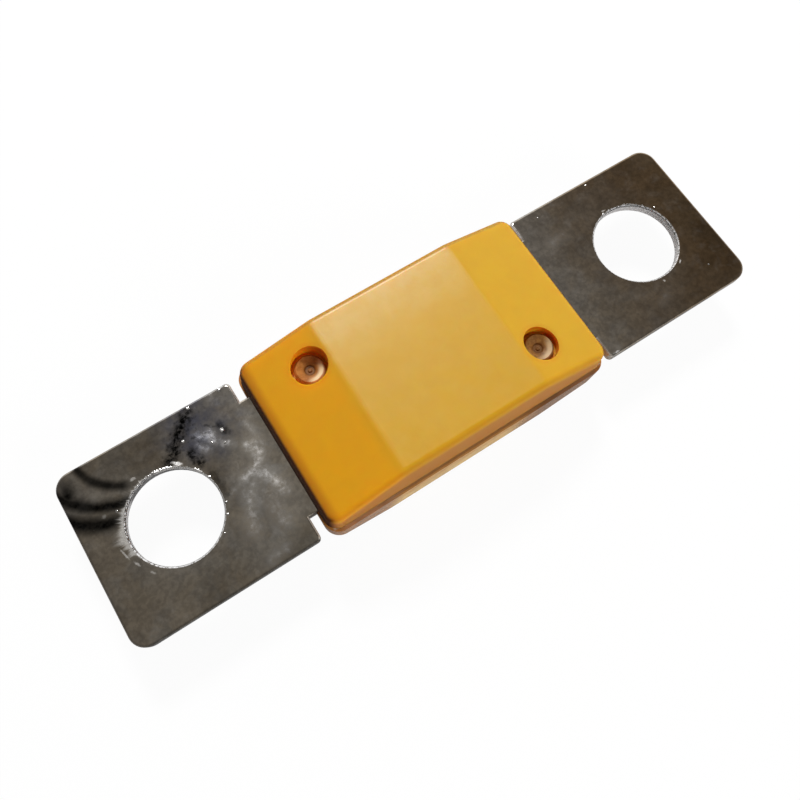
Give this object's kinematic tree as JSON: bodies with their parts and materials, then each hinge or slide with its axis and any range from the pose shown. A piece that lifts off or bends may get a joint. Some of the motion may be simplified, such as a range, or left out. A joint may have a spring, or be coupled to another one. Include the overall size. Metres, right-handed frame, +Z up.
{
  "type": "bolt-down fuse",
  "caption": "Flat high-current fuse: a plated metal strip with a stud hole at each end, clamped in a two-part moulded housing with sloped ends.",
  "frame": {"origin": "middle of the link: halfway between the two stud holes, at half the strip's thickness", "axes": "+X along the link from stud to stud, +Y across it, +Z up out of the amber cover"},
  "size_m": [0.0664, 0.0176, 0.0101],
  "materials": {
    "plated_strip": "bright tin plate, scuffed",
    "amber_moulding": "satin moulded amber, slightly translucent",
    "clear_moulding": "clear moulded plastic"
  },
  "bodies": {
    "root": {"fuse_link": "plated_strip", "upper_cover": "amber_moulding", "lower_cover": "clear_moulding"}
  },
  "joints": []
}
